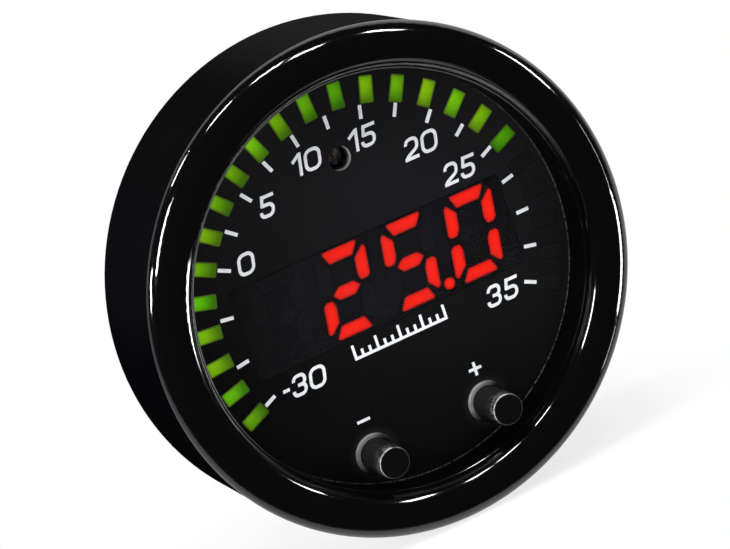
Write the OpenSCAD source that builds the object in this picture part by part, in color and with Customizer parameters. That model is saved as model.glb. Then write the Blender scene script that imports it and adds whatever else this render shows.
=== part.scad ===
// Slim digital boost gauge for a 52 mm panel hole.
// The dial faces -Y and +Z is up. The origin is the centre of the seat plane, where the cup
// leaves the back of the body. Levels below are measured forward from that plane.

/* [Housing] */
// Diameter of the cup that fills the panel hole
cup_d = 52; // [50:0.5:54]
// Depth of the cup behind the seat plane
cup_depth = 5.08; // [4.6:0.01:6.6]
// Width of the step by which the body stands on the panel
seat_w = 4; // [3.5:0.1:6]
// Wall of the body and of the cup
body_wall = 2; // [1.6:0.1:2.4]
// Floor that closes the cup
cup_floor_t = 1.6; // [1.2:0.1:2]
// Radius that breaks the rear edge of the body
rear_edge_r = 0.8; // [0.4:0.1:1.4]
// Chamfer that leads the cup into the panel hole
cup_lead = 0.5; // [0.2:0.1:0.9]

/* [Bezel] */
// Width of the body's front that the bezel covers, from its edge to the dial
bezel_w = 5.4; // [5:0.1:5.8]
// How far the bezel stands out past the body, on the radius
bezel_overhang = 0.15; // [0.05:0.05:0.5]
// Height of the joint between bezel and body over the dial face
joint_h = 3.9; // [3.2:0.1:4.4]
// Height of the crown over that joint
crown_h = 2.2; // [1.8:0.1:2.8]
// Height of the bezel's inner wall over the dial face
lip_h = 4.25; // [3.9:0.05:4.5]
// Flat step at the top of the inner wall
lip_step = 0.35; // [0.2:0.05:0.5]
// Fullness of the round from the crown to that step, from a straight slope to a full curve
lip_round_share = 0.95; // [0.8:0.01:0.97]
// Radius that breaks the edge of the step
lip_edge_r = 0.12; // [0.06:0.02:0.16]
// Radius of the bead that snaps into the housing
bead_r = 0.3; // [0.2:0.05:0.4]

/* [Dial] */
// Thickness of the face plate
face_t = 0.4; // [0.3:0.05:0.6]
// Number of light windows round the dial
window_count = 24; // [18:1:24]
// Angle from one light window to the next
window_pitch = 10; // [9.5:0.1:10]
// Radial length of a light window, as a share of the dial's radius
window_l_share = 0.134; // [0.12:0.002:0.14]
// Width of a light window
window_w = 1.8; // [1.4:0.1:2]
// Distance from the windows to the bezel's inner wall, as a share of the dial's radius
window_margin_share = 0.039; // [0.034:0.001:0.048]
// Corner radius of the windows
window_corner_r = 0.25; // [0.1:0.05:0.4]
// Radius of the light sensor's hole
sensor_hole_r = 1.46; // [1.3:0.02:1.6]
// Height of that hole above the dial's centre, as a share of the dial's radius
sensor_place_share = 0.606; // [0.57:0.002:0.618]

/* [Display] */
// Number of digits
digit_count = 4; // [2:1:4]
// Distance from one digit to the next, as a share of the dial's radius
digit_pitch_share = 0.349; // [0.33:0.001:0.353]
// Height of a digit, as a share of that distance
digit_h_share = 1.235; // [1.12:0.005:1.28]
// Width of a digit, as a share of that distance
digit_w_share = 0.769; // [0.7:0.001:0.79]
// Lean of the digits, in degrees
digit_lean = 8; // [0:1:10]
// Thickness of a segment, as a share of that distance
segment_share = 0.192; // [0.165:0.001:0.21]
// Radius of a decimal point, as a share of that distance
point_r_share = 0.087; // [0.06:0.001:0.093]
// Depth of a segment's diffuser
segment_depth = 1; // [0.6:0.1:1.6]

/* [Buttons] */
// Distance from a button's centre to the bezel's inner wall
button_margin = 3.6; // [3.4:0.1:4.6]
// Angle of a button from six o'clock
button_angle = 21.5; // [19:0.5:26]
// Radius of a button cap
cap_r = 1.95; // [1.8:0.05:2.1]
// Height of a button cap over the dial face
cap_h = 5.75; // [4:0.05:6]
// Travel of a button
button_travel = 0.5; // [0.3:0.05:0.6]
// Width of the collar's visible rim
collar_rim_w = 0.5; // [0.4:0.05:0.7]
// Height of the collar over the dial face
collar_h = 0.35; // [0.2:0.05:0.5]
// Side of a switch body
switch_side = 6; // [5.6:0.1:6.4]
// Height of a switch body
switch_h = 2.6; // [2.3:0.1:2.8]

/* [Inside] */
// Thickness of a circuit board
board_t = 1.6; // [1.2:0.1:1.8]
// Height of the spacers between the boards
spacer_h = 3.2; // [3:0.1:4.2]
// Height of the bosses that carry the main board
boss_h = 3.1; // [2.8:0.1:4]
// Depth of the light baffle
baffle_t = 5.6; // [5.4:0.1:6.4]
// Place of the board screws across and up, as a share of the dial's radius
screw_place_share = 0.48; // [0.465:0.005:0.49]
// Radius of a board screw's shank
screw_r = 1.1; // [0.9:0.05:1.2]
// Distance between the bracket inserts
insert_spacing = 34; // [32:0.5:36]
// Thread bore radius of a bracket insert
insert_bore_r = 1.65; // [1.25:0.05:1.8]
// Outer radius of a bracket insert
insert_r = 2.8; // [2.5:0.1:3]
// Distance between the posts of a connector
post_pitch = 3; // [2.5:0.1:3.2]
// How far the connectors stand out behind the cup
header_proud = 4.5; // [3:0.1:6]

/* [Hidden] */
$fn = 96;
// Overrun that carries a cut past the face it opens
over = 0.5;
// Gap round pieces that are fitted by hand
fit = 0.2;
// Gap round pieces that locate closely
close_fit = 0.05;
// Running gap of the button caps in their collars
cap_fit = 0.08;
// Gap round a circuit board
board_gap = 0.4;

// Housing
cup_r = cup_d/2;
body_r = cup_r + seat_w;
bore_r = body_r - body_wall;
cup_bore_r = cup_r - body_wall;
floor_z = cup_floor_t - cup_depth;
edge_steps = 6;

// Levels of the stack inside, from the back to the front
main_back_z = floor_z + boss_h;
main_front_z = main_back_z + board_t;
front_back_z = main_front_z + spacer_h;
front_z = front_back_z + board_t;
baffle_z = front_z + baffle_t;
face_z = baffle_z + face_t;
joint_z = face_z + joint_h;

// Bezel
dial_r = body_r - bezel_w;
bezel_r = body_r + bezel_overhang;
bezel_half_w = (bezel_r - dial_r)/2;
bezel_mid_r = dial_r + bezel_half_w;
skirt_r = bore_r - fit/2;
core_share = 0.27;
core_w = core_share*(skirt_r - dial_r);
core_r = dial_r + (skirt_r - dial_r - core_w)/2;
bead_out_share = 0.8;
bead_z = face_z + joint_h/3;
lip_reach_share = 0.45;
lip_r = dial_r + lip_step;
lip_top_r = dial_r + lip_reach_share*bezel_half_w;
lip_rise = crown_h*sqrt(1 - pow((bezel_mid_r - lip_top_r)/bezel_half_w, 2));
lip_z = face_z + lip_h;
lip_top = [lip_top_r, joint_z + lip_rise];
lip_foot = [lip_r, lip_z];
lip_top_angle = atan2(lip_rise/pow(crown_h, 2), (lip_top_r - bezel_mid_r)/pow(bezel_half_w, 2));
lip_top_normal = [cos(lip_top_angle), sin(lip_top_angle)];
lip_full_r = pow(norm(lip_top - lip_foot), 2)/2/((lip_top - lip_foot)*lip_top_normal);
lip_round_r = lip_round_share*lip_full_r;
lip_centre = lip_top - lip_round_r*lip_top_normal;
lip_foot_arm = lip_foot - lip_centre;
lip_slack = 5;
lip_end_angle = atan2(-lip_foot_arm.y, -lip_foot_arm.x) + 180
  - acos(lip_round_r/norm(lip_foot_arm)) - lip_slack;
lip_end = lip_centre + lip_round_r*[cos(lip_end_angle), sin(lip_end_angle)];

// Dial
plate_r = bore_r - fit;
window_l = window_l_share*dial_r;
window_r = dial_r - window_margin_share*dial_r - window_l/2;
first_window = -window_pitch*(window_count - 1)/2;
sensor_y = sensor_place_share*dial_r;
button_x = (dial_r - button_margin)*sin(button_angle);
button_y = -(dial_r - button_margin)*cos(button_angle);

// Light guides and lamps
guide_drop = 0.02;
guide_fit = 0.05;
guide_rim = 0.25;
guide_rim_t = 0.5;
lamp_size = [0.8, 1.6, 0.6];
lamp_gap = 0.3;
guide_z = face_z - guide_drop;
guide_rim_z = baffle_z - guide_fit;
guide_foot_z = front_z + lamp_size.z + lamp_gap;

// Display
digit_pitch = digit_pitch_share*dial_r;
digit_h = digit_h_share*digit_pitch;
digit_w = digit_w_share*digit_pitch;
segment_t = segment_share*digit_pitch;
point_r = point_r_share*digit_pitch;
pane_side = 0.8;
pane_edge = 0.4;
pane_w = digit_count*digit_pitch + 2*pane_side;
pane_h = digit_h + 2*pane_edge;
module_rim_share = 0.02;
module_rim = module_rim_share*dial_r;
module_w = pane_w + 2*module_rim;
module_h = pane_h + 2*module_rim;
module_z = baffle_z - close_fit;
pane_t = face_t - close_fit;
corner_share = 0.515;
nib_share = 0.242;
gap_share = 0.273;
middle_share = 0.576;
mitre_share = 0.55;
point_x_share = 0.437;
point_y_share = 0.105;
segment_corner = corner_share*segment_t;
segment_nib = nib_share*segment_t;
segment_gap = gap_share*segment_t;
middle_l = middle_share*digit_w;
point_x = point_x_share*digit_pitch;
point_y = point_y_share*digit_pitch;
display_pin_count = 6;
display_pin_pitch = 5;
display_pin_r = 0.25;
display_pin_tail = 0.7;
display_pin_inset = 1.2;

// Buttons and switches
collar_bore_r = cap_r + cap_fit;
collar_r = collar_bore_r + collar_rim_w;
collar_barrel_t = 0.28;
collar_barrel_r = collar_bore_r + collar_barrel_t;
collar_seat_depth = 1;
collar_edge_w = 0.15;
cap_edge_r = 0.22;
cap_flange_w = 0.65;
cap_flange_t = 1;
cap_flange_r = cap_r + cap_flange_w;
cap_flange_z = baffle_z - collar_seat_depth - close_fit;
cap_foot_z = cap_flange_z - cap_flange_t;
flange_bore_r = cap_flange_r + 1.5*fit;
switch_z = front_z + switch_h;
plunger_r = 1.75;
plunger_flange = 0.35;
plunger_flange_t = 0.5;
switch_lid_t = 0.6;
switch_base_t = 0.5;
dome_t = 0.12;
dome_r = 1.9;
dome_slope = 0.5;
plunger_foot_z = switch_z - switch_lid_t - close_fit - plunger_flange_t;
dome_base_z = front_z + switch_base_t;
dome_top_z = plunger_foot_z - button_travel - close_fit;
leg_r = 0.35;
leg_inset = 0.75;
leg_tail = 0.6;
hole_gap = 0.12;

// Light sensor
sensor_r = 1.2;
sensor_lens_r = 1.5;
sensor_top_z = face_z - 1.25*sensor_hole_r;

// Fasteners
screw_place = screw_place_share*dial_r;
screw_head_r = 2.2;
screw_head_h = 1.6;
screw_socket_r = 1;
boss_r = 2.6;
pilot_gap = 0.05;
pilot_floor = 0.7;
insert_boss_wall = 1.2;
insert_boss_r = insert_r + insert_boss_wall;
insert_l = cup_floor_t + boss_h - fit;

// Circuit boards and what is on them
main_board_r = cup_bore_r - board_gap;
front_board_r = bore_r - board_gap;
pin_count = 6;
pin_pitch = 2;
pin_r = 0.25;
pin_y = 9.5;
socket_w = 2.2;
pin_foot = 0.4;
control_side = 7;
control_t = 1.2;
driver_size = [5, 4, 1.2];
driver_x = 9;
driver_y = -1.5;
regulator_size = [6.5, 6, 1.8];
regulator_x = -14;
capacitor_r = 2;
capacitor_h = 2.2;
capacitor_x = 14;
capacitor_step = 5;

// Connectors
post_w = 0.64;
post_short = 1.5;
header_margin = 0.3;
header_wall = 0.9;
header_base_t = 1.6;
header_y = 6.5;
header_rows = 2;
power_columns = 3;
sensor_columns = 2;
header_gap = 0.25;
latch_w = 2.4;
latch_l = 1.6;
latch_h = 0.8;
mouth_z = -cup_depth - header_proud;

// Points along an arc
function arc(c, r, a0, a1, n) =
  [for (i = [0:n]) c + r*[cos(a0 + (a1 - a0)*i/n), sin(a0 + (a1 - a0)*i/n)]];

// Outline of a rectangle with round corners
function round_rect(w, l, r) =
  [for (q = [0:3]) each arc([(q == 0 || q == 3 ? 1 : -1)*(w/2 - r), (q < 2 ? 1 : -1)*(l/2 - r)],
    r, 90*q, 90*q + 90, 3)];

// Outline leaned over like an italic digit
function lean(points) = [for (p = points) [p.x + p.y*tan(digit_lean), p.y]];

// Outlines of the top, middle and upper left segments
function top_segment() = let (x = digit_w/2 - segment_corner, y = digit_h/2, m = mitre_share*segment_t)
  [[-x, y], [x, y], [x - m, y - segment_t], [m - x, y - segment_t]];
function middle_segment() = let (x = middle_l/2, y = segment_t/2, m = mitre_share*segment_t)
  [[-x, 0], [m - x, y], [x - m, y], [x, 0], [x - m, -y], [m - x, -y]];
function side_segment() = let (x = -digit_w/2, n = segment_nib, t = segment_t,
  low = segment_gap, high = digit_h/2 - segment_corner)
  [[x, low + n], [x + n, low], [x + t - n, low], [x + t, low + 2*n], [x + t, high - t + n],
    [x + n, high], [x, high - n]];
function mirrored(points, sx, sy) = [for (p = points) [sx*p.x, sy*p.y]];
function digit_outlines() = [top_segment(), mirrored(top_segment(), 1, -1), middle_segment(),
  side_segment(), mirrored(side_segment(), -1, 1), mirrored(side_segment(), 1, -1),
  mirrored(side_segment(), -1, -1)];

// Turns a piece modelled with its front up so that it faces -Y
module facing() {
  rotate([90, 0, 0]) children();
}

// Repeats a piece at every light window
module round_dial() {
  for (i = [0:window_count - 1])
    rotate([0, 0, -first_window - i*window_pitch]) translate([0, window_r, 0]) children();
}

// Repeats a piece at the four board screws
module at_screws() {
  for (x = [-1, 1], y = [-1, 1]) translate([x*screw_place, y*screw_place, 0]) children();
}

// Repeats a piece at the two bracket inserts
module at_inserts() {
  for (x = [-1, 1]) translate([x*insert_spacing/2, 0, 0]) children();
}

// Places a piece at one button: -1 is left, 1 is right
module at_button(side) {
  translate([side*button_x, button_y, 0]) children();
}

// Repeats a piece at the four legs of a switch
module at_legs() {
  for (x = [-1, 1], y = [-1, 1])
    translate([x*(switch_side/2 - leg_inset), y*(switch_side/2 - leg_inset), 0]) children();
}

// Repeats a piece at the display's pins, in a row above and a row below
module at_display_pins() {
  for (i = [0:display_pin_count - 1], y = [-1, 1])
    translate([(i - (display_pin_count - 1)/2)*display_pin_pitch,
      y*(module_h/2 - display_pin_inset), 0]) children();
}

// Repeats a piece at the header pins between the boards
module at_header_pins() {
  for (i = [0:pin_count - 1]) translate([(i - (pin_count - 1)/2)*pin_pitch, pin_y, 0]) children();
}

// Repeats a piece at the posts of a connector
module at_posts(columns) {
  for (i = [0:columns - 1], j = [0:header_rows - 1])
    translate([(i - (columns - 1)/2)*post_pitch, (j - (header_rows - 1)/2)*post_pitch, 0])
      children();
}

module slab(w, l, z0, z1) {
  translate([-w/2, -l/2, z0]) cube([w, l, z1 - z0]);
}

module pillar(r, z0, z1) {
  translate([0, 0, z0]) cylinder(r = r, h = z1 - z0);
}

module round_slab(w, l, r, z0, z1) {
  translate([0, 0, z0]) linear_extrude(z1 - z0) polygon(round_rect(w, l, r));
}

// Outer size of a connector shell along its columns or rows
function header_side(n) = n*post_pitch + 2*(header_margin + header_wall);

module header_window(columns) {
  slab(header_side(columns) + 2*header_gap, header_side(header_rows) + 2*header_gap,
    -cup_depth - over, floor_z + over);
}

module housing() {
  color([0.07, 0.07, 0.075]) facing() difference() {
    union() {
      rotate_extrude() difference() {
        polygon(concat([[0, -cup_depth], [cup_r - cup_lead, -cup_depth],
          [cup_r, cup_lead - cup_depth], [cup_r, 0]],
          arc([body_r - rear_edge_r, rear_edge_r], rear_edge_r, -90, 0, edge_steps),
          [[body_r, joint_z], [bore_r, joint_z], [bore_r, body_wall], [cup_bore_r, body_wall],
          [cup_bore_r, floor_z], [0, floor_z]]));
        translate([skirt_r, bead_z]) circle(r = bead_r + close_fit);
      }
      at_screws() pillar(boss_r, floor_z, main_back_z);
      at_inserts() pillar(insert_boss_r, floor_z, main_back_z - fit);
    }
    at_screws() pillar(screw_r + pilot_gap, pilot_floor - cup_depth, main_back_z + over);
    at_inserts() pillar(insert_r + close_fit, -cup_depth - over, main_back_z + over);
    translate([0, header_y, 0]) header_window(power_columns);
    translate([0, -header_y, 0]) header_window(sensor_columns);
  }
}

module bezel_ring() {
  color([0.02, 0.02, 0.02]) facing() rotate_extrude() difference() {
    union() {
      intersection() {
        translate([bezel_mid_r, joint_z]) scale([1, crown_h/bezel_half_w])
          circle(r = bezel_half_w);
        translate([lip_top_r, joint_z]) square([bezel_r, crown_h + over]);
      }
      intersection() {
        translate(lip_centre) circle(r = lip_round_r);
        translate(lip_foot) square(lip_top - lip_foot);
      }
      polygon(concat([[dial_r, face_z], [skirt_r, face_z], [skirt_r, joint_z],
        [lip_top_r + bezel_half_w, joint_z], lip_top, lip_end, lip_foot],
        arc([dial_r + lip_edge_r, lip_z - lip_edge_r], lip_edge_r, 90, 180, 3)));
      translate([skirt_r - bead_r + bead_out_share*bead_r, bead_z]) circle(r = bead_r);
    }
    translate([core_r, face_z - over]) square([core_w, joint_h + over]);
  }
}

module face_plate() {
  color([0.09, 0.09, 0.095]) facing() difference() {
    pillar(plate_r, baffle_z, face_z);
    round_dial() round_slab(window_w, window_l, window_corner_r, baffle_z - over, face_z + over);
    round_slab(pane_w, pane_h, window_corner_r, baffle_z - over, face_z + over);
    translate([0, sensor_y, 0]) pillar(sensor_hole_r, baffle_z - over, face_z + over);
    for (side = [-1, 1])
      at_button(side) pillar(collar_barrel_r + close_fit, baffle_z - over, face_z + over);
  }
}

module display_window() {
  color([0.05, 0.04, 0.045]) facing()
    round_slab(pane_w - 2*close_fit, pane_h - 2*close_fit, window_corner_r, module_z,
      module_z + pane_t);
}

module light_baffle() {
  color([0.75, 0.75, 0.76]) facing() difference() {
    pillar(plate_r, front_z, baffle_z);
    round_dial() {
      slab(window_w + 2*guide_fit, window_l + 2*guide_fit, front_z - over, baffle_z + over);
      slab(window_w + 2*(guide_rim + guide_fit), window_l + 2*(guide_rim + guide_fit),
        guide_rim_z - guide_rim_t, baffle_z + over);
    }
    slab(module_w + 2*close_fit, module_h + 2*close_fit, front_z - over, baffle_z + over);
    translate([0, sensor_y, 0]) pillar(sensor_hole_r, front_z - over, baffle_z + over);
    for (side = [-1, 1]) at_button(side) {
      pillar(collar_barrel_r + close_fit, baffle_z - collar_seat_depth - over, baffle_z + over);
      pillar(flange_bore_r, front_z, baffle_z - collar_seat_depth);
      slab(switch_side + 2*fit, switch_side + 2*fit, front_z - over, switch_z + fit);
    }
    at_screws() pillar(screw_head_r + fit, front_z - over, front_z + screw_head_h + fit);
  }
}

module light_guides() {
  color([0.35, 0.62, 0.1]) facing() round_dial() {
    slab(window_w, window_l, guide_foot_z, guide_rim_z);
    slab(window_w + 2*guide_rim, window_l + 2*guide_rim, guide_rim_z - guide_rim_t, guide_rim_z);
    round_slab(window_w - 2*guide_fit, window_l - 2*guide_fit, window_corner_r - guide_fit,
      guide_rim_z, guide_z);
  }
}

module button_collars() {
  color([0.45, 0.45, 0.46]) facing() for (side = [-1, 1]) at_button(side) rotate_extrude()
    polygon([[collar_bore_r, baffle_z - collar_seat_depth], [collar_barrel_r, baffle_z - collar_seat_depth],
      [collar_barrel_r, face_z], [collar_r, face_z], [collar_r, face_z + collar_h - collar_edge_w],
      [collar_r - collar_edge_w, face_z + collar_h], [collar_bore_r, face_z + collar_h]]);
}

module button_cap(side) {
  color([0.1, 0.1, 0.105]) facing() at_button(side) rotate_extrude()
    polygon(concat([[0, cap_foot_z], [cap_flange_r, cap_foot_z], [cap_flange_r, cap_flange_z],
      [cap_r, cap_flange_z]],
      arc([cap_r - cap_edge_r, face_z + cap_h - cap_edge_r], cap_edge_r, 0, 90, 4),
      [[0, face_z + cap_h]]));
}

module left_button_cap() {
  button_cap(-1);
}

module right_button_cap() {
  button_cap(1);
}

module switch_body(side) {
  color([0.15, 0.15, 0.16]) facing() at_button(side) difference() {
    union() {
      slab(switch_side, switch_side, front_z, switch_z);
      at_legs() pillar(leg_r, front_back_z - leg_tail, front_z + over);
    }
    pillar(plunger_r + close_fit, dome_base_z, switch_z + over);
    pillar(plunger_r + plunger_flange + 2*close_fit, dome_base_z, switch_z - switch_lid_t);
  }
}

module left_switch_body() {
  switch_body(-1);
}

module right_switch_body() {
  switch_body(1);
}

module switch_plunger(side) {
  color([0.82, 0.8, 0.74]) facing() at_button(side) {
    pillar(plunger_r, plunger_foot_z, cap_foot_z);
    pillar(plunger_r + plunger_flange, plunger_foot_z, plunger_foot_z + plunger_flange_t);
  }
}

module left_switch_plunger() {
  switch_plunger(-1);
}

module right_switch_plunger() {
  switch_plunger(1);
}

module switch_domes() {
  color([0.8, 0.78, 0.7]) facing() for (side = [-1, 1]) at_button(side) rotate_extrude()
    polygon([[dome_r, dome_base_z], [dome_r - dome_slope, dome_top_z], [0, dome_top_z],
      [0, dome_top_z - dome_t], [dome_r - dome_slope - dome_t/2, dome_top_z - dome_t],
      [dome_r - dome_t, dome_base_z]]);
}

// Solids of every segment and decimal point, between two levels
module all_segments(z0, z1) {
  for (i = [0:digit_count - 1]) translate([(i - (digit_count - 1)/2)*digit_pitch, 0, 0]) {
    for (outline = digit_outlines())
      translate([0, 0, z0]) linear_extrude(z1 - z0) polygon(lean(outline));
    translate([point_x, point_y - digit_h/2, 0]) pillar(point_r, z0, z1);
  }
}

module digit_display() {
  color([0.12, 0.11, 0.11]) facing() difference() {
    slab(module_w, module_h, front_z, module_z);
    all_segments(module_z - segment_depth, module_z + over);
  }
}

module digit_segments() {
  color([0.85, 0.14, 0.08]) facing() all_segments(module_z - segment_depth, module_z);
}

module display_pins() {
  color([0.8, 0.8, 0.8]) facing() at_display_pins()
    pillar(display_pin_r, front_back_z - display_pin_tail, front_z);
}

module bar_lamps() {
  color([0.9, 0.9, 0.8]) facing() round_dial()
    slab(lamp_size.x, lamp_size.y, front_z, front_z + lamp_size.z);
}

module light_sensor() {
  color([0.12, 0.1, 0.1]) facing() translate([0, sensor_y, 0]) intersection() {
    pillar(sensor_r, front_z, sensor_top_z + over);
    union() {
      pillar(2*sensor_r, front_z, sensor_top_z - sensor_r);
      translate([0, 0, sensor_top_z - sensor_lens_r]) sphere(r = sensor_lens_r);
    }
  }
}

module front_board() {
  color([0.05, 0.3, 0.14]) facing() difference() {
    pillar(front_board_r, front_back_z, front_z);
    at_screws() pillar(screw_r + fit, front_back_z - over, front_z + over);
    at_display_pins() pillar(display_pin_r + hole_gap, front_back_z - over, front_z + over);
    at_header_pins() pillar(pin_r + hole_gap, front_back_z - over, front_z + over);
    for (side = [-1, 1])
      at_button(side) at_legs() pillar(leg_r + hole_gap, front_back_z - over, front_z + over);
  }
}

module driver_chips() {
  color([0.1, 0.1, 0.1]) facing() for (x = [-1, 1]) translate([x*driver_x, driver_y, 0])
    slab(driver_size.x, driver_size.y, front_back_z - driver_size.z, front_back_z);
}

module board_spacers() {
  color([0.78, 0.76, 0.7]) facing() at_screws() difference() {
    pillar(boss_r, main_front_z, front_back_z);
    pillar(screw_r + fit, main_front_z - over, front_back_z + over);
  }
}

module header_socket() {
  color([0.08, 0.08, 0.08]) facing() difference() {
    translate([0, pin_y, 0]) slab(pin_count*pin_pitch, socket_w, main_front_z, front_back_z);
    at_header_pins() pillar(pin_r + close_fit, main_front_z + pin_foot, front_back_z + over);
  }
}

module header_pins() {
  color([0.85, 0.7, 0.3]) facing() at_header_pins() pillar(pin_r, main_front_z + pin_foot, front_z);
}

module main_board() {
  color([0.05, 0.3, 0.14]) facing() difference() {
    pillar(main_board_r, main_back_z, main_front_z);
    at_screws() pillar(screw_r + fit, main_back_z - over, main_front_z + over);
  }
}

module control_chip() {
  color([0.1, 0.1, 0.1]) facing()
    slab(control_side, control_side, main_front_z, main_front_z + control_t);
}

module voltage_regulator() {
  color([0.12, 0.12, 0.12]) facing() translate([regulator_x, 0, 0])
    slab(regulator_size.x, regulator_size.y, main_front_z, main_front_z + regulator_size.z);
}

module filter_capacitors() {
  color([0.7, 0.7, 0.72]) facing() for (y = [-1, 1])
    translate([capacitor_x, y*capacitor_step/2, 0])
      pillar(capacitor_r, main_front_z, main_front_z + capacitor_h);
}

// Open shell of a connector, with the ramp that its plug latches over
module header_shell(columns) {
  difference() {
    union() {
      slab(header_side(columns), header_side(header_rows), mouth_z, main_back_z);
      translate([-latch_w/2, header_side(header_rows)/2, mouth_z + latch_l]) rotate([90, 0, 90])
        linear_extrude(latch_w) polygon([[0, 0], [latch_h, latch_l], [0, latch_l]]);
    }
    slab(header_side(columns) - 2*header_wall, header_side(header_rows) - 2*header_wall,
      mouth_z - over, main_back_z - header_base_t);
    at_posts(columns) slab(post_w + 2*close_fit, post_w + 2*close_fit, mouth_z, main_back_z + over);
  }
}

module header_posts(columns) {
  at_posts(columns) slab(post_w, post_w, mouth_z + post_short, main_back_z);
}

module power_connector() {
  color([0.06, 0.06, 0.06]) facing() translate([0, header_y, 0]) header_shell(power_columns);
}

module power_posts() {
  color([0.85, 0.7, 0.3]) facing() translate([0, header_y, 0]) header_posts(power_columns);
}

module sensor_connector() {
  color([0.06, 0.06, 0.06]) facing() translate([0, -header_y, 0]) header_shell(sensor_columns);
}

module sensor_posts() {
  color([0.85, 0.7, 0.3]) facing() translate([0, -header_y, 0]) header_posts(sensor_columns);
}

module board_screws() {
  color([0.6, 0.6, 0.62]) facing() at_screws() difference() {
    union() {
      pillar(screw_head_r, front_z, front_z + screw_head_h);
      pillar(screw_r, pilot_floor - cup_depth + fit, front_z + over);
    }
    translate([0, 0, front_z + screw_head_h/2]) cylinder(r = screw_socket_r, h = screw_head_h, $fn = 6);
  }
}

module bracket_inserts() {
  color([0.8, 0.62, 0.25]) facing() at_inserts() difference() {
    pillar(insert_r, -cup_depth, insert_l - cup_depth);
    pillar(insert_bore_r, -cup_depth - over, insert_l - cup_depth + over);
  }
}

housing();
bezel_ring();
face_plate();
display_window();
light_baffle();
light_guides();
button_collars();
left_button_cap();
right_button_cap();
left_switch_body();
right_switch_body();
left_switch_plunger();
right_switch_plunger();
switch_domes();
digit_display();
digit_segments();
display_pins();
bar_lamps();
light_sensor();
front_board();
driver_chips();
board_spacers();
header_socket();
header_pins();
main_board();
control_chip();
voltage_regulator();
filter_capacitors();
power_connector();
power_posts();
sensor_connector();
sensor_posts();
board_screws();
bracket_inserts();
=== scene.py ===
"""Boost gauge: the looks of every piece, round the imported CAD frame. Lengths are in metres."""

import math

import bmesh
import bpy
from mathutils import Matrix, Vector


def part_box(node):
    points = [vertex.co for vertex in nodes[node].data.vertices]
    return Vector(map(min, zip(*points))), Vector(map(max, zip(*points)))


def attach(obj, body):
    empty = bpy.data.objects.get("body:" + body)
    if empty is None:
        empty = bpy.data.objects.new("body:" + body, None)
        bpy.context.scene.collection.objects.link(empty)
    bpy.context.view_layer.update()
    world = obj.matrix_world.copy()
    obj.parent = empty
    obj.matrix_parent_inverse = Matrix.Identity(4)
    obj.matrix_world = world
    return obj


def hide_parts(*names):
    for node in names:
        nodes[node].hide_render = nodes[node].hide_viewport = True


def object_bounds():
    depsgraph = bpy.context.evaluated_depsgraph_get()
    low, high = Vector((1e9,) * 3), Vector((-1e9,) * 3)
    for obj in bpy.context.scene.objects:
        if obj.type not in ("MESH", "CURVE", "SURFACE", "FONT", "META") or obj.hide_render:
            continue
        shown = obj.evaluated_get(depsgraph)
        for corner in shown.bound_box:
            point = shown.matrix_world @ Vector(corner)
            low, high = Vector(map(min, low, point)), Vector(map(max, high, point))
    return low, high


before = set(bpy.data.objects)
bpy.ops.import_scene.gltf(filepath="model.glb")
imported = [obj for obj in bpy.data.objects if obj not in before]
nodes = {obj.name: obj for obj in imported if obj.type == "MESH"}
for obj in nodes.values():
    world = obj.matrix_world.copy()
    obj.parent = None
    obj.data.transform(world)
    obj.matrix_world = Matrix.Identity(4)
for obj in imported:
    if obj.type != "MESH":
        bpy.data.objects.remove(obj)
cad_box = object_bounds()
scene = bpy.context.scene
scene.view_settings.view_transform = "Standard"

# Camera
# A long lens stands above and to the left of the dial, and leans with the picture.
# Its place and lens come from the dial's tick marks and light windows in the photograph.
face_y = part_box("face_plate")[0].y
picture_width = 730
focal_pixels = 3155.1
sensor_width = 36
nearest_sight = 0.01
camera_from_dial = Vector((-0.11702, -0.33371, 0.09974))
camera_right = Vector((0.86610, -0.39127, -0.31111))
camera_up = Vector((0.38858, 0.13546, 0.91141))
camera_forward = camera_up.cross(camera_right)

camera = bpy.data.objects.new("camera", bpy.data.cameras.new("camera"))
scene.collection.objects.link(camera)
scene.camera = camera
camera.data.sensor_width = sensor_width
camera.data.lens = focal_pixels * sensor_width / picture_width
camera.data.clip_start = nearest_sight
turned = Matrix((camera_right, camera_up, -camera_forward)).transposed().to_4x4()
camera.matrix_world = Matrix.Translation(Vector((0, face_y, 0)) + camera_from_dial) @ turned


# Housing
# A moulded black cup and body in one piece. The band behind the bezel has a dull spark texture
# from its mould, and the cup that drops into the panel hole is smoother. Light and shade are
# painted into the colour: the band is painted lighter in two steps up and to the right, with a
# cooler tint on its shaded lower left, and the cup is painted lighter as a sheen.

# In each pair of values below, a fade begins at the first and is full at the second.
mould_grain, mould_patch, mould_relief = 0.00022, 0.006, 0.00001
cup_edge = (-0.0004, 0.0001)
cup_painted_sheen_level, cup_coat = 0.006, 0.6
painted_light_lean = 0.6
painted_light_low_rise, painted_light_top_rise, painted_shade_tint_rise = (-0.018, -0.006), (0.02, 0.036), (0, 0.015)
band_level, painted_light_low_level, painted_light_top_level, patch_level = 0.0007, 0.0011, 0.009, 0.0006
shaded_black_tint, lit_black_tint = (0.94, 0.92, 1.2), (1, 1, 0.98)


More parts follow.
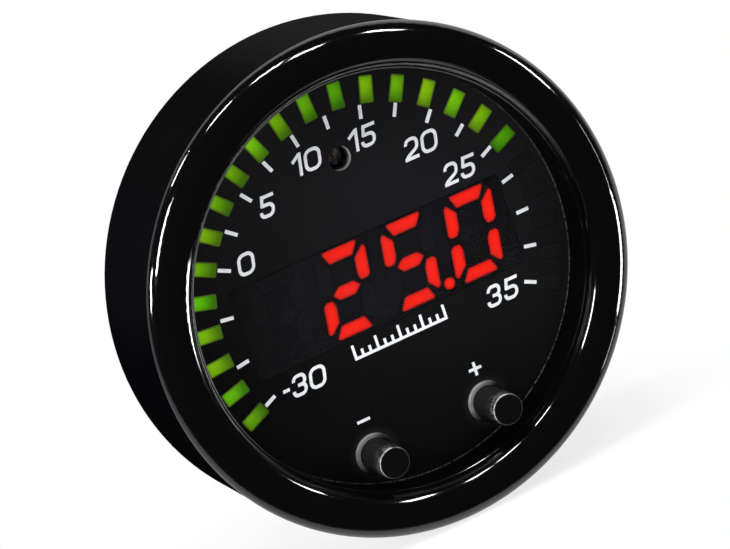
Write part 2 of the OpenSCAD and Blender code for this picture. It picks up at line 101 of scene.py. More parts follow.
class Flow:
    """The output of a shader node. Sums on flows add the Math nodes that work them out."""

    def __init__(self, socket):
        self.socket = socket

    def node(self, kind, settings=None, inputs=None, output=0):
        """Adds a node of that kind, sets its settings, then its sockets, and gives one output."""
        tree = self.socket.id_data
        made = tree.nodes.new(kind)
        for name, value in (settings or {}).items():
            setattr(made, name, value)
        for name, value in (inputs or {}).items():
            if isinstance(value, Flow):
                tree.links.new(value.socket, made.inputs[name])
            else:
                made.inputs[name].default_value = value
        return Flow(made.outputs[output])

    def maths(self, operation, *others):
        """A sum or a function of this flow and of others."""
        values = dict(enumerate((self, *others)))
        return self.node("ShaderNodeMath", {"operation": operation}, values)

    def __add__(self, other):
        return self.maths("ADD", other)

    def __sub__(self, other):
        return self.maths("SUBTRACT", other)

    def __rsub__(self, other):
        return (self * -1) + other

    def __mul__(self, other):
        return self.maths("MULTIPLY", other)

    def __truediv__(self, other):
        return self.maths("DIVIDE", other)

    __radd__ = __add__
    __rmul__ = __mul__

    def ramp(self, low, high):
        """0 below low and 1 above high, with a smooth rise between them."""
        settings = {"interpolation_type": "SMOOTHSTEP"}
        inputs = {"Value": self, "From Min": low, "From Max": high}
        return self.node("ShaderNodeMapRange", settings, inputs)

    def between(self, low, high):
        """A number from low, where this flow is 0, to high, where it is 1."""
        return self * (high - low) + low

    def blend(self, low, high):
        """A colour from low, where this flow is 0, to high, where it is 1."""
        return self.node("ShaderNodeMix", {"data_type": "RGBA"}, {0: self, 6: low, 7: high}, 2)

    def dimmed(self, level):
        """This colour, times a level."""
        inputs = {0: self, "Scale": level}
        return self.node("ShaderNodeVectorMath", {"operation": "SCALE"}, inputs)

    def noise(self, size, detail=3.0, roughness=0.6):
        """Soft noise whose lumps have that size in metres, for a flow that holds a place."""
        inputs = {"Vector": self, "Scale": 1 / size, "Detail": detail, "Roughness": roughness}
        return self.node("ShaderNodeTexNoise", None, inputs)

    def split(self):
        """The three parts of a place or colour."""
        first = self.node("ShaderNodeSeparateXYZ", None, {0: self})
        return [Flow(output) for output in first.socket.node.outputs]

    def bump(self, depth):
        """A Normal in which this flow stands up by that depth in metres."""
        return self.node("ShaderNodeBump", None, {"Height": self, "Distance": depth})


def finish(name, **constants):
    """A new material, its Principled shader with constant sockets set, and the place in the piece."""
    material = bpy.data.materials.new(name)
    material.use_nodes = True
    tree = material.node_tree
    shader = tree.nodes["Principled BSDF"]
    for socket, value in constants.items():
        shader.inputs[socket.replace("_", " ")].default_value = value
    place = Flow(tree.nodes.new("ShaderNodeTexCoord").outputs["Object"])
    return material, shader, place


def feed(shader, **flows):
    """Links flows into the shader's sockets that may vary over a surface."""
    for socket, flow in flows.items():
        shader.id_data.links.new(flow.socket, shader.inputs[socket.replace("_", " ")])


def grey(value, tint=(1, 1, 1)):
    """A colour of that lightness, grey or with a tint."""
    return (*(value * part for part in tint), 1)


def distance(across, up):
    """How far a place lies from an axis, from how far it lies across it and up from it."""
    return (across * across + up * up).maths("SQRT")


def paint(name, material):
    """Gives a CAD node's object that material alone."""
    nodes[name].data.materials.clear()
    nodes[name].data.materials.append(material)


def moulded_black():
    material, shader, place = finish("moulded_black", Specular_IOR_Level=0.0, Coat_Roughness=0.38)
    grain = place.noise(mould_grain, 4)
    patches = place.noise(mould_patch, 2)
    x, y, z = place.split()
    cup = y.ramp(*cup_edge)
    # Painted light and shade: the band grows lighter along this slant, up and to the right, and cooler
    # where it is shaded.
    slant = z + x * painted_light_lean
    level = band_level + slant.ramp(*painted_light_low_rise) * painted_light_low_level + slant.ramp(*painted_light_top_rise) * painted_light_top_level
    # Painted sheen: the cup is painted lighter.
    level = level + patches * patch_level + cup * cup_painted_sheen_level
    tint = slant.ramp(*painted_shade_tint_rise).blend(grey(1, shaded_black_tint), grey(1, lit_black_tint))
    feed(shader, Base_Color=tint.dimmed(level), Roughness=grain.between(0.5, 0.7),
         Coat_Weight=cup * cup_coat, Normal=grain.bump(mould_relief))
    return material


paint("housing", moulded_black())


# Bezel ring
# A polished black ring with a half-oval crown and a rounded lip, moulded and then snapped
# over the dial. The buffing wheel doesn't reach the narrow step of its lip, which stays duller.
# Two fine grey lines are painted along the upper edges of the lip as highlights, broken up by
# scuffs and weaker on the right.
step_inner, step_outer = 0.02461, 0.02495
step_inner_fade, step_outer_fade, line_fade = 0.00003, 0.0002, 0.00002
round_line_radius, round_line_width = 0.02512, (0.00007, 0.0002)
step_line_radius, step_line_width = 0.02472, (0.00003, 0.0001)
step_line_share = 0.7
painted_highlight_lean, painted_highlight_rise = 0.42, (-0.008, 0.011)
painted_highlight_right, painted_highlight_right_loss = (-0.014, 0.014), 0.55
wave_size, wave_relief = 0.006, 0.0000003
scuff_size, painted_highlight_scuffs, scuff_dull = 0.0004, (0.1, 0.45), (0.45, 0.9)
gloss_roughness, scuff_roughness, step_roughness = 0.065, 0.02, 0.07
deep_black, painted_highlight_grey = grey(0.001, (1, 1, 0.85)), grey(0.21)


def fine_line(reach, radius, width):
    """1 along a thin circle of that radius, fading on both sides between two half widths."""
    return 1 - (reach - radius).maths("ABSOLUTE").ramp(*width)


def gloss_black():
    material, shader, place = finish("gloss_black", IOR=1.6)
    x, _, z = place.split()
    reach = distance(x, z)
    step = reach.ramp(step_inner, step_inner + step_inner_fade) * (
        1 - reach.ramp(step_outer, step_outer + step_outer_fade))
    waves = place.noise(wave_size, 1)
    scuffs = place.noise(scuff_size, 5)
    round_line = fine_line(reach, round_line_radius, round_line_width)
    step_line = fine_line(reach, step_line_radius, step_line_width)
    step_line = step_line * reach.ramp(step_inner, step_inner + line_fade)
    # Painted highlight: two grey lines on the lip's upper left edges, weaker on the right, broken by
    # scuffs.
    upper = (z - x * painted_highlight_lean).ramp(*painted_highlight_rise) * (1 - x.ramp(*painted_highlight_right) * painted_highlight_right_loss)
    painted_highlight = upper * (round_line + step_line * step_line_share) * scuffs.ramp(*painted_highlight_scuffs)
    roughness = gloss_roughness + scuffs.ramp(*scuff_dull) * scuff_roughness + step * step_roughness
    feed(shader, Base_Color=painted_highlight.blend(deep_black, painted_highlight_grey), Roughness=roughness,
         Normal=waves.bump(wave_relief))
    return material


paint("bezel_ring", gloss_black())


# Circuit boards
# Two round fibreglass boards under green lacquer, joined by a header and four spacers.
# Copper tracks show through the lacquer as lighter, slightly raised lines.
track_pitch, track_half_width = 0.0021, (0.1, 0.14)
track_area, area_edge = 0.007, (0.45, 0.55)
track_relief, weave_share = 0.00003, 0.15
weave_size = 0.0007
green_lacquer, green_track = grey(1, (0.006, 0.05, 0.018)), grey(1, (0.02, 0.11, 0.04))
stain_grains, stain_share, metal_relief_share = 12, 0.8, 0.02
patch_grains, patch_shares, plastic_relief_share = 15, (0.85, 1.1), 0.03


def lacquered_board():
    """Tracks that run across in some areas of a board, and up and down in the others."""
    material, shader, place = finish("lacquered_board", IOR=1.5)
    x, _, z = place.split()
    rows, columns = ((way / track_pitch).maths("FRACT").maths("PINGPONG", 0.5) for way in (x, z))
    area = place.node("ShaderNodeTexVoronoi", {"distance": "CHEBYCHEV"},
                      {"Vector": place, "Scale": 1 / track_area}, "Color").split()[0]
    across = area.ramp(*area_edge)
    lines = rows * across + columns * (1 - across)
    tracks = 1 - lines.ramp(*track_half_width)
    weave = place.noise(weave_size, 2)
    feed(shader, Base_Color=tracks.blend(green_lacquer, green_track),
         Roughness=weave.between(0.28, 0.4), Normal=(tracks + weave * weave_share).bump(track_relief))
    return material


def metal(name, colour, grain, low, high):
    """A bright metal whose roughness runs from low to high over grains of that size."""
    material, shader, place = finish(name, Metallic=1.0)
    wear = place.noise(grain, 4)
    stain = place.noise(grain * stain_grains, 2)
    feed(shader, Base_Color=stain.blend(grey(stain_share, colour), grey(1, colour)),
         Roughness=wear.between(low, high), Normal=wear.bump(grain * metal_relief_share))
    return material


def plain_plastic(name, colour, low, high, grain=0.0003, **constants):
    """A moulded plastic with a fine grain, its roughness from low to high."""
    material, shader, place = finish(name, **constants)
    texture = place.noise(grain, 4)
    patches = place.noise(grain * patch_grains, 2)
    feed(shader, Base_Color=patches.blend(*(grey(share, colour) for share in patch_shares)),
         Roughness=texture.between(low, high), Normal=texture.bump(grain * plastic_relief_share))
    return material


board_lacquer = lacquered_board()
chip_epoxy = plain_plastic("chip_epoxy", (0.012, 0.012, 0.013), 0.45, 0.7, 0.00012)
plated_contact = metal("plated_contact", (0.83, 0.6, 0.22), 0.0002, 0.18, 0.35)
for name in ("front_board", "main_board"):
    paint(name, board_lacquer)
for name in ("control_chip", "driver_chips", "voltage_regulator", "header_socket"):
    paint(name, chip_epoxy)
paint("header_pins", plated_contact)
paint("filter_capacitors", metal("drawn_can", (0.7, 0.7, 0.72), 0.0003, 0.25, 0.4))
paint("board_spacers", metal("nickel_plate", (0.66, 0.62, 0.54), 0.0003, 0.2, 0.38))
paint("board_screws", metal("zinc_plate", (0.58, 0.6, 0.64), 0.00025, 0.28, 0.45))


# Light baffle and sensor
# A white moulding with a cell for each lamp, which also carries the face plate. The light
# sensor looks out through a hole near its top, and the wall of that hole is painted dark
# with shade, deepening below the face.
sensor_z = (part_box("light_sensor")[0].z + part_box("light_sensor")[1].z) / 2
well_radius, well_fade, well_depth = 0.0022, 0.0002, (0.0004, 0.0018)
moulding_grain, moulding_relief = 0.0003, 0.000009
white_nylon, painted_well_shade = grey(0.72, (1, 1, 1.03)), grey(0.05)
fleck_size, fleck_edge, fleck_relief = 0.0006, (0.42, 0.62), 0.00002
dark_epoxy, pale_fleck = grey(0.01, (1, 0.9, 0.8)), grey(0.16, (1, 0.8, 0.66))


def white_moulding():
    material, shader, place = finish("white_moulding")
    x, y, z = place.split()
    near = 1 - distance(x, z - sensor_z).ramp(well_radius, well_radius + well_fade)
    # Painted shade: the hole's wall darkens with depth below the face.
    shade = near * (y - face_y).ramp(*well_depth)
    grain = place.noise(moulding_grain, 4)
    feed(shader, Base_Color=shade.blend(white_nylon, painted_well_shade),
         Roughness=grain.between(0.4, 0.6), Normal=grain.bump(moulding_relief))
    return material


def sensor_epoxy():
    material, shader, place = finish("sensor_epoxy")
    fleck = place.noise(fleck_size, 5, 0.75).ramp(*fleck_edge)
    feed(shader, Base_Color=fleck.blend(dark_epoxy, pale_fleck),
         Roughness=fleck.between(0.4, 0.2), Normal=fleck.bump(fleck_relief))
    return material


paint("light_baffle", white_moulding())
paint("light_sensor", sensor_epoxy())
paint("bar_lamps", plain_plastic("lamp_phosphor", (0.8, 0.75, 0.4), 0.3, 0.5))


# Light guides
# Twenty-four acrylic blocks, flush with the face. Nineteen are lit: that is the bar of the reading.
# Each glows most near its lamp and fades to a dull rim, and no two lamps have quite the same green.
window_count = 24
window_step = math.radians(10)
lit_windows = 19
window_radius = 0.02199
window_half = Vector((0.0009, 0.00165))
window_rim, mottle_size = 0.00034, 0.0007
spot_outward, spot_left, spot_up, spot_radius = 0.0004, 0.00045, 0.0003, 0.0025
lamp_level, lamp_spread, mottle_level, mottle_spread = 0.5, 0.4, 0.82, 0.36
deep_greens = (grey(1, (0.024, 0.160, 0.0006)), grey(1, (0.066, 0.175, 0.0006)))
hot_greens = (grey(1, (0.120, 0.560, 0.001)), grey(1, (0.260, 0.560, 0.001)))
rim_green = grey(1, (0.055, 0.090, 0.012))
dark_acrylic, green_acrylic = grey(0.009), grey(1, (0.01, 0.02, 0.002))


def lit_acrylic():
    material, shader, place = finish("lit_acrylic", Roughness=0.42, Specular_IOR_Level=0.1,
                                     Emission_Strength=1.0)
    x, _, z = place.split()
    angle = x.maths("ARCTAN2", z)
    number = ((angle / window_step) + window_count / 2).maths("FLOOR")
    middle = (number - (window_count - 1) / 2) * window_step
    turn = angle - middle
    reach = distance(x, z)
    across = reach * turn.maths("SINE")
    along = reach * turn.maths("COSINE") - window_radius
    side = window_half.x - across.maths("ABSOLUTE")
    end = window_half.y - along.maths("ABSOLUTE")
    inside = side.maths("MINIMUM", end).ramp(0, window_rim)
    spot_x = x - middle.maths("SINE") * (window_radius + spot_outward) + spot_left
    spot_z = z - middle.maths("COSINE") * (window_radius + spot_outward) - spot_up
    hot = 1 - distance(spot_x, spot_z).ramp(0, spot_radius)
    lamp = number.node("ShaderNodeTexWhiteNoise", {"noise_dimensions": "1D"}, {"W": number}, 1)
    tint, power, _ = lamp.split()
    mottle = place.noise(mottle_size, 3)
    glow = inside.blend(rim_green, hot.blend(tint.blend(*deep_greens), tint.blend(*hot_greens)))
    lit = number.maths("LESS_THAN", lit_windows - 0.5)
    level = lit * (lamp_level + power * lamp_spread) * (mottle_level + mottle * mottle_spread)
    feed(shader, Emission_Color=glow.dimmed(level), Base_Color=lit.blend(dark_acrylic, green_acrylic))
    return material


paint("light_guides", lit_acrylic())


# Digit display
# A potted module with 32 diffusers, of which those of the reading are lit. Each diffuser is
# brightest inside and duller along its edge, and its light isn't mirrored in the bezel.
display_strength = 4.0
reading = [" ", "2", "5.", "0"]
lit_parts = {" ": "", "2": "abged", "5.": "afgcd.", "0": "abcdef"}
digit_pitch = 0.008585
digit_lean = math.tan(math.radians(8))
part_width, part_height = 0.0025, 0.00448
part_places = {"a": (0, 1), "b": (1, 0.47), "c": (1, -0.47), "d": (0, -1), "e": (-1, -0.47),
               "f": (-1, 0.47), "g": (0, 0), ".": (1.75, -1)}
diffuser_corner, corner_steps = 0.00032, 5
diffuser_depth, diffuser_sink = 0.00098, 0.00002
diffuser_mottle = 0.0006
glow_depth, edge_glow = 0.00005, 0.08
glow_rings = ((0.00013, 0.35), (0.00017, 0.75))  # width of a ring, and the glow inside it
digit_reach = 0.45  # how far a digit reaches to the left of its middle, as a share of the pitch
merge_distance, level_distance = 0.000002, 0.00001
flat_angle = math.radians(1)
edge_red, core_red = grey(1, (0.12, 0.001, 0.001)), grey(1, (1.0, 0.0125, 0.001))
dark_diffuser, lit_diffuser = grey(0.0027), grey(1, (0.05, 0.004, 0.003))


def is_lit(middle):
    """True for a diffuser that the reading lights, told by its place in its digit."""
    upright = middle.x - middle.z * digit_lean
    digit = upright / digit_pitch + (len(reading) - 1) / 2
    number = min(max(math.floor(digit + digit_reach), 0), len(reading) - 1)
    across = (digit - number) * digit_pitch / part_width
    up = middle.z / part_height
    nearest = min(part_places, key=lambda part: math.hypot(part_places[part][0] - across,
                                                           part_places[part][1] - up))
    return nearest in lit_parts[reading[number]]


def from_node(name):
    """A bmesh of a CAD node's shape, its triangles merged into whole faces."""
    mesh = bmesh.new()
    mesh.from_mesh(nodes[name].data)
    bmesh.ops.remove_doubles(mesh, verts=mesh.verts, dist=merge_distance)
    bmesh.ops.dissolve_limit(mesh, angle_limit=flat_angle, verts=mesh.verts, edges=mesh.edges)
    return mesh


def add_piece(name, mesh, body, slot, material, *replaced):
    """Makes an object of a bmesh, which rides on a body and may stand for CAD nodes."""
    data = bpy.data.meshes.new(name)
    mesh.to_mesh(data)
    mesh.free()
    data.materials.append(material)
    piece = bpy.data.objects.new(name, data)
    scene.collection.objects.link(piece)
    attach(piece, body)
    if replaced:
        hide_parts(*replaced)
    return piece


def glowing_red():
    material, shader, place = finish("glowing_red", Roughness=0.6, Specular_IOR_Level=0.1,
                                     Emission_Strength=display_strength)
    lit = place.node("ShaderNodeAttribute", {"attribute_name": "lit"}, None, 2)
    core = place.node("ShaderNodeAttribute", {"attribute_name": "core"}, None, 2)
    mottle = place.noise(diffuser_mottle, 2)
    glow = core.blend(edge_red, core_red).dimmed(lit * mottle.between(0.9, 1.1))
    feed(shader, Emission_Color=glow, Base_Color=lit.blend(dark_diffuser, lit_diffuser))
    return material


def rounded_outline(corners):
    """The points of a convex outline with its corners rounded, from its sharp corners."""
    points = []
    for i, corner in enumerate(corners):
        before = (corner - corners[i - 1]).normalized()
        after = (corners[(i + 1) % len(corners)] - corner).normalized()
        first, last = Vector((before.y, -before.x)), Vector((after.y, -after.x))
        centre = corner - (first + last) * diffuser_corner / (1 + first.dot(last))
        for step in range(corner_steps + 1):
            points.append(centre + first.slerp(last, step / corner_steps, first) * diffuser_corner)
    return points


def diffusers():
    """Builds each diffuser behind the front of its CAD shape, its glow rising from edge to core."""
    shapes = from_node("digit_segments")
    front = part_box("digit_segments")[0].y
    back = front + diffuser_sink + diffuser_depth
    mesh = bmesh.new()
    lit = mesh.verts.layers.float.new("lit")
    core = mesh.verts.layers.float.new("core")
    for shape in shapes.faces:
        if any(abs(vert.co.y - front) > level_distance for vert in shape.verts):
            continue
        corners = [Vector((vert.co.x, vert.co.z)) for vert in shape.verts]
        level = float(is_lit(shape.calc_center_median()))
        face = mesh.faces.new([mesh.verts.new((p.x, back, p.y)) for p in rounded_outline(corners)])
        for lift, power, glow in ((diffuser_depth - glow_depth, 0, 0), (glow_depth, level, edge_glow)):
            raised = bmesh.ops.extrude_face_region(mesh, geom=[face, *face.edges])["geom"]
            face = next(part for part in raised if isinstance(part, bmesh.types.BMFace))
            bmesh.ops.translate(mesh, vec=(0, -lift, 0), verts=face.verts)
            for vert in face.verts:
                vert[lit], vert[core] = power, glow
        for width, glow in glow_rings:
            bmesh.ops.inset_individual(mesh, faces=[face], thickness=width, use_even_offset=True)
            for vert in face.verts:
                vert[core] = glow
        peak = bmesh.ops.poke(mesh, faces=[face])["verts"][0]
        peak[lit], peak[core] = level, 1
    shapes.free()
    bmesh.ops.recalc_face_normals(mesh, faces=mesh.faces)
    return mesh


digits = add_piece("digit_diffusers", diffusers(), "gauge", "red_segment", glowing_red(),
                   "digit_segments")
digits.visible_glossy = False
paint("digit_display", plain_plastic("potting", (0.003, 0.003, 0.0035), 0.5, 0.7, 0.0002,
                                     Specular_IOR_Level=0.1))
paint("display_pins", metal("tinned_pin", (0.75, 0.75, 0.74), 0.0002, 0.25, 0.4))


# Display window
# A smoked acrylic pane that sits in the opening of the face plate, flush with its film.
# Only the lit diffusers show well through it.
haze_size = 0.004
smoke_tint = (1, 0.94, 1.12)
clear_smoke, hazy_smoke = grey(0.0105, smoke_tint), grey(0.0135, smoke_tint)


def smoked_pane():
    material, shader, place = finish("smoked_pane", Alpha=0.5, Specular_IOR_Level=0.12)
    haze = place.noise(haze_size, 3)
    feed(shader, Base_Color=haze.blend(clear_smoke, hazy_smoke), Roughness=haze.between(0.36, 0.48))
    return material


paint("display_window", smoked_pane())


# Face plate
# A black film with a satin lacquer, printed with the scale. Its cut edge at the bezel is paler,
# and is painted brighter towards the lower right as lit. A soft paler ring round each button is a
# painted reflection, and the film is painted lighter towards the upper right as lit.
film_edge_radius, film_edge_fade = 0.0244, (0.00004, 0.00014)
cut_edge_painted_light = (-0.008, 0.03)
painted_ring_radius = (0.0023, 0.0036)
film_grain, film_relief, film_patch = 0.00012, 0.000003, 0.012
film_fleck, film_fleck_edge = 0.0004, (0.42, 0.6)
film_lean_x, film_lean_z, painted_light_rise = 0.45, 0.8, (-0.018, 0.016)
film_level, painted_light_level, film_spread = 0.0026, 0.0062, 0.002
painted_ring_level, edge_level = 0.008, 0.16
film_tint = (1, 0.99, 1.14)
button_x = (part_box("right_button_cap")[0].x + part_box("right_button_cap")[1].x) / 2
button_z = (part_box("right_button_cap")[0].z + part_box("right_button_cap")[1].z) / 2


def satin_film():
    material, shader, place = finish("satin_film", Specular_IOR_Level=0.06)
    x, _, z = place.split()
    # Painted reflection: a soft paler ring round each button.
    painted_highlight = 1 - distance(x.maths("ABSOLUTE") - button_x, z - button_z).ramp(*painted_ring_radius)
    grain = place.noise(film_grain, 3)
    patches = place.noise(film_patch, 2)
    fleck = place.noise(film_fleck, 5, 0.8)
    cut_edge = (distance(x, z) - film_edge_radius).ramp(*film_edge_fade) * fleck.ramp(*film_fleck_edge)
    # Painted light: the paler cut edge is brighter towards the lower right and fades out towards the
    # upper left.
    cut_edge = cut_edge * (x - z).ramp(*cut_edge_painted_light)
    # Painted light: the film is lighter towards the upper right.
    painted_lit_side = (x * film_lean_x + z * film_lean_z).ramp(*painted_light_rise)
    level = film_level + painted_lit_side * painted_light_level + patches * film_spread
    level = level + painted_highlight * painted_ring_level + cut_edge * edge_level
    tint = painted_highlight.blend(grey(1, film_tint), grey(1))
    feed(shader, Base_Color=tint.dimmed(level), Roughness=grain.between(0.4, 0.56),
         Normal=grain.bump(film_relief))
    return material


paint("face_plate", satin_film())


# Printed scale
# Eighteen ticks, the numbers, a small ruler and a sign over each button, screened on in white
# ink. A flat pen draws them in strokes of straight runs and turns, and the ink has a thickness.
ink_height = 0.00003
ink_layer = 0.000004
ink_sink = 0.00001
digit_height = 0.00264
pen_share = 0.15
italic = 0.2
digit_gap = 0.11
turn_steps = 8
joint_share = 0.002
millimetres_per_metre = 1000
tick_inner, tick_outer, tick_width = 0.01868, 0.02030, 0.00044
tick_angles = [-115, -98.33, -81.67, -65] + [-65 + 12.857 * i for i in range(1, 15)]
screen_size = 0.00015
ink_tint = (0.96, 0.98, 1.03)
thin_ink, full_ink = grey(0.72, ink_tint), grey(0.9, ink_tint)
# The middle of each number, in millimetres from the middle of the dial.
number_places = {"-30": (-13.02, -7.94), "0": (-14.92, 7.95), "5": (-10.33, 13.22),
                 "10": (-4.05, 16.19), "15": (3.27, 16.18), "20": (9.95, 12.63),
                 "25": (13.51, 7.95), "35": (13.85, -7.9)}

# Strokes of each digit, as start x, start y, heading in degrees and moves. A number is a straight
# run, a pair is a turn of so many degrees on that radius, and all lengths are shares of the height.
digit_widths = {"0": 0.845, "1": 0.51, "2": 0.72, "3": 0.76, "5": 0.755, "-": 0.33}
digit_strokes = {
    "0": [(0.0825, 0.5, 90, [0.1575, (-90, 0.26), 0.16, (-90, 0.26), 0.315, (-90, 0.26), 0.16,
                             (-90, 0.26), 0.1575])],
    "1": [(0.43, 0, 90, [1.0]), (0.05, 0.66, 38, [0.46])],
    "2": [(0.0825, 0.68, 90, [0.0175, (-90, 0.22), 0.115, (-90, 0.22), 0.08, (-60, 0.24), 0.387,
                              (60, 0.2)]), (0, 0.0825, 0, [0.7])],
    "3": [(0.11, 0.7, 90, [0.0175, (-90, 0.2), 0.15, (-90, 0.2), 0.0475, (-90, 0.17), 0.18]),
          (0.4, 0.5, 0, [0.0775, (-90, 0.2), 0.0175, (-90, 0.2), 0.195, (-90, 0.2), 0.02])],
    "5": [(0.755, 0.9175, 180, [0.6]), (0.2, 1.0, -96, [0.49]),
          (0.12, 0.56, 0, [0.3325, (-90, 0.22), 0.0375, (-90, 0.22), 0.17, (-90, 0.2), 0.02])],
    "-": [(0, 0.5, 0, [0.33])],
}


def pen_stroke(x, y, heading, moves, width):
    """Draws a stroke of constant width in the flat."""
    mesh = bmesh.new()
    heading = math.radians(heading)
    point = Vector((x, y, 0))
    across = Vector((-math.sin(heading), math.cos(heading), 0)) * (width / 2)
    tip = [mesh.verts.new(point + across), mesh.verts.new(point - across)]
    edge = mesh.edges.new(tip)
    for move in moves:
        if isinstance(move, tuple):
            angle, radius = math.radians(move[0]), move[1]
            side = math.copysign(radius, angle)
            centre = point + side * Vector((-math.sin(heading), math.cos(heading), 0))
            last = bmesh.ops.spin(mesh, geom=tip + [edge], cent=centre, axis=(0, 0, 1),
                                  angle=angle, steps=turn_steps)["geom_last"]
            point = centre + Matrix.Rotation(angle, 3, "Z") @ (point - centre)
            heading += angle
        else:
            last = bmesh.ops.extrude_edge_only(mesh, edges=[edge])["geom"]
            step = Vector((math.cos(heading), math.sin(heading), 0)) * move
            bmesh.ops.translate(mesh, vec=step,
                                verts=[v for v in last if isinstance(v, bmesh.types.BMVert)])
            point = point + step
        edge = next(e for e in last if isinstance(e, bmesh.types.BMEdge))
        tip = list(edge.verts)
    bmesh.ops.remove_doubles(mesh, verts=mesh.verts, dist=width * joint_share)
    return mesh


def lay_ink(sheet, stroke, place, layer=0):
    """Puts a flat stroke in its place, thickens it, and lays it on the dial.
    Strokes that cross lie on layers of their own, so that no two tops are level."""
    bmesh.ops.transform(stroke, matrix=place, verts=stroke.verts)
    made = bmesh.ops.extrude_face_region(stroke, geom=stroke.faces[:], use_keep_orig=True)
    bmesh.ops.translate(stroke, vec=(0, 0, ink_sink + ink_height + layer * ink_layer),
                        verts=[v for v in made["geom"] if isinstance(v, bmesh.types.BMVert)])
    bmesh.ops.recalc_face_normals(stroke, faces=stroke.faces)
    onto_dial = Matrix.Translation((0, face_y + ink_sink, 0)) @ Matrix.Rotation(math.pi / 2, 4, "X")
    bmesh.ops.transform(stroke, matrix=onto_dial, verts=stroke.verts)
    held = bpy.data.meshes.new("stroke")
    stroke.to_mesh(held)
    stroke.free()
    sheet.from_mesh(held)
    bpy.data.meshes.remove(held)


def on_dial(place):
    """Moves a flat shape's origin to a place on the dial, given in millimetres."""
    return Matrix.Translation(Vector((*place, 0)) / millimetres_per_metre)


def number_on_dial(sheet, text, place):
    """Writes a number in slanted digits with its middle at that place, in millimetres."""
    total = sum(digit_widths[sign] for sign in text) + digit_gap * (len(text) - 1)
    slant = Matrix(((1, italic, 0, 0), (0, 1, 0, 0), (0, 0, 1, 0), (0, 0, 0, 1)))
    where = on_dial(place) @ Matrix.Scale(digit_height, 4) @ slant
    start = -total / 2
    for sign in text:
        for layer, (x, y, heading, moves) in enumerate(digit_strokes[sign]):
            stroke = pen_stroke(x + start, y - 0.5, heading, moves, pen_share)
            lay_ink(sheet, stroke, where, layer)
        start += digit_widths[sign] + digit_gap


def white_ink():
    material, shader, place = finish("white_ink", Specular_IOR_Level=0.3)
    screen = place.noise(screen_size, 3)
    feed(shader, Base_Color=screen.blend(thin_ink, full_ink), Roughness=screen.between(0.45, 0.65))
    return material


ink = white_ink()
ticks = bmesh.new()
for angle in tick_angles:
    tick = pen_stroke(tick_inner, 0, 0, [tick_outer - tick_inner], tick_width)
    lay_ink(ticks, tick, Matrix.Rotation(math.radians(90 - angle), 4, "Z"))
add_piece("scale_ticks", ticks, "gauge", "white_plastic", ink)
numbers = bmesh.new()
for text, place in number_places.items():
    number_on_dial(numbers, text, place)
add_piece("scale_numbers", numbers, "gauge", "white_plastic", ink)

# A small ruler lies under the digits, and each button has a sign over it.
ruler_place, ruler_length, ruler_ticks = (0, -7.95), 0.0122, 13
ruler_tick, ruler_long_tick, ruler_pen = 0.0009, 0.0017, 0.00034
ruler_group = 3
sign_places = {-1: (-7.75, -15.2), 1: (7.5, -15.2)}
sign_size, sign_pen = 0.0017, 0.00036
marks = bmesh.new()
middle = on_dial(ruler_place)
line_length = ruler_length + ruler_pen
lay_ink(marks, pen_stroke(-line_length / 2, 0, 0, [line_length], ruler_pen), middle)
for i in range(ruler_ticks):
    length = ruler_tick if i % ruler_group else ruler_long_tick
    x = ruler_length * (i / (ruler_ticks - 1) - 0.5)
    lay_ink(marks, pen_stroke(x, 0, 90, [length], ruler_pen), middle, 1)
for side, place in sign_places.items():
    middle = on_dial(place)
    lay_ink(marks, pen_stroke(-sign_size / 2, 0, 0, [sign_size], sign_pen), middle)
    if side > 0:
        lay_ink(marks, pen_stroke(0, -sign_size / 2, 90, [sign_size], sign_pen), middle, 1)
add_piece("scale_marks", marks, "gauge", "white_plastic", ink)


# Buttons and switches
# Long satin caps slide in collars and press the plungers of two board switches. Each collar
# is painted pale on its upper left as lit. Fingers have polished the edge of each tip, and that
# edge is painted lighter all round as a highlight, most on the upper left, with painted glinting
# specks near the tip on that side.
cap_tip_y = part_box("right_button_cap")[0].y
cap_radius = 0.00195
tip_ring, tip_edge, painted_speck_reach = (0.0002, 0.0001), (0.00002, 0.00012), (0.0002, 0.0022)
smudge_size, smudge_relief = 0.0006, 0.000012
painted_speck_range, painted_glint_breakup, painted_glint_side = (0.45, 0.62), (0.35, 0.6), (-0.3, 1.3)
cap_level, edge_painted_low, edge_painted_high, smudge_level, painted_speck_level = 0.0022, 0.035, 0.5, 0.014, 0.11
cap_roughness, edge_polish, smudge_roughness = 0.46, 0.24, 0.1
cap_tint = (0.95, 0.95, 1.12)
collar_film, collar_relief, collar_painted_light_side = 0.0012, 0.00001, (-0.1, 1.35)
collar_level, collar_painted_light_levels = 0.004, (0.08, 0.3)
warm_collar, cool_collar = grey(1, (1, 1, 0.98)), grey(1, (1, 1, 1.03))


def round_button(place):
    """Distance from the nearer button's axis, and how far up and to the left of it a place lies."""
    x, _, z = place.split()
    across = x - x.maths("SIGN") * button_x
    up = z - button_z
    reach = distance(across, up)
    return reach, (up - across) / reach


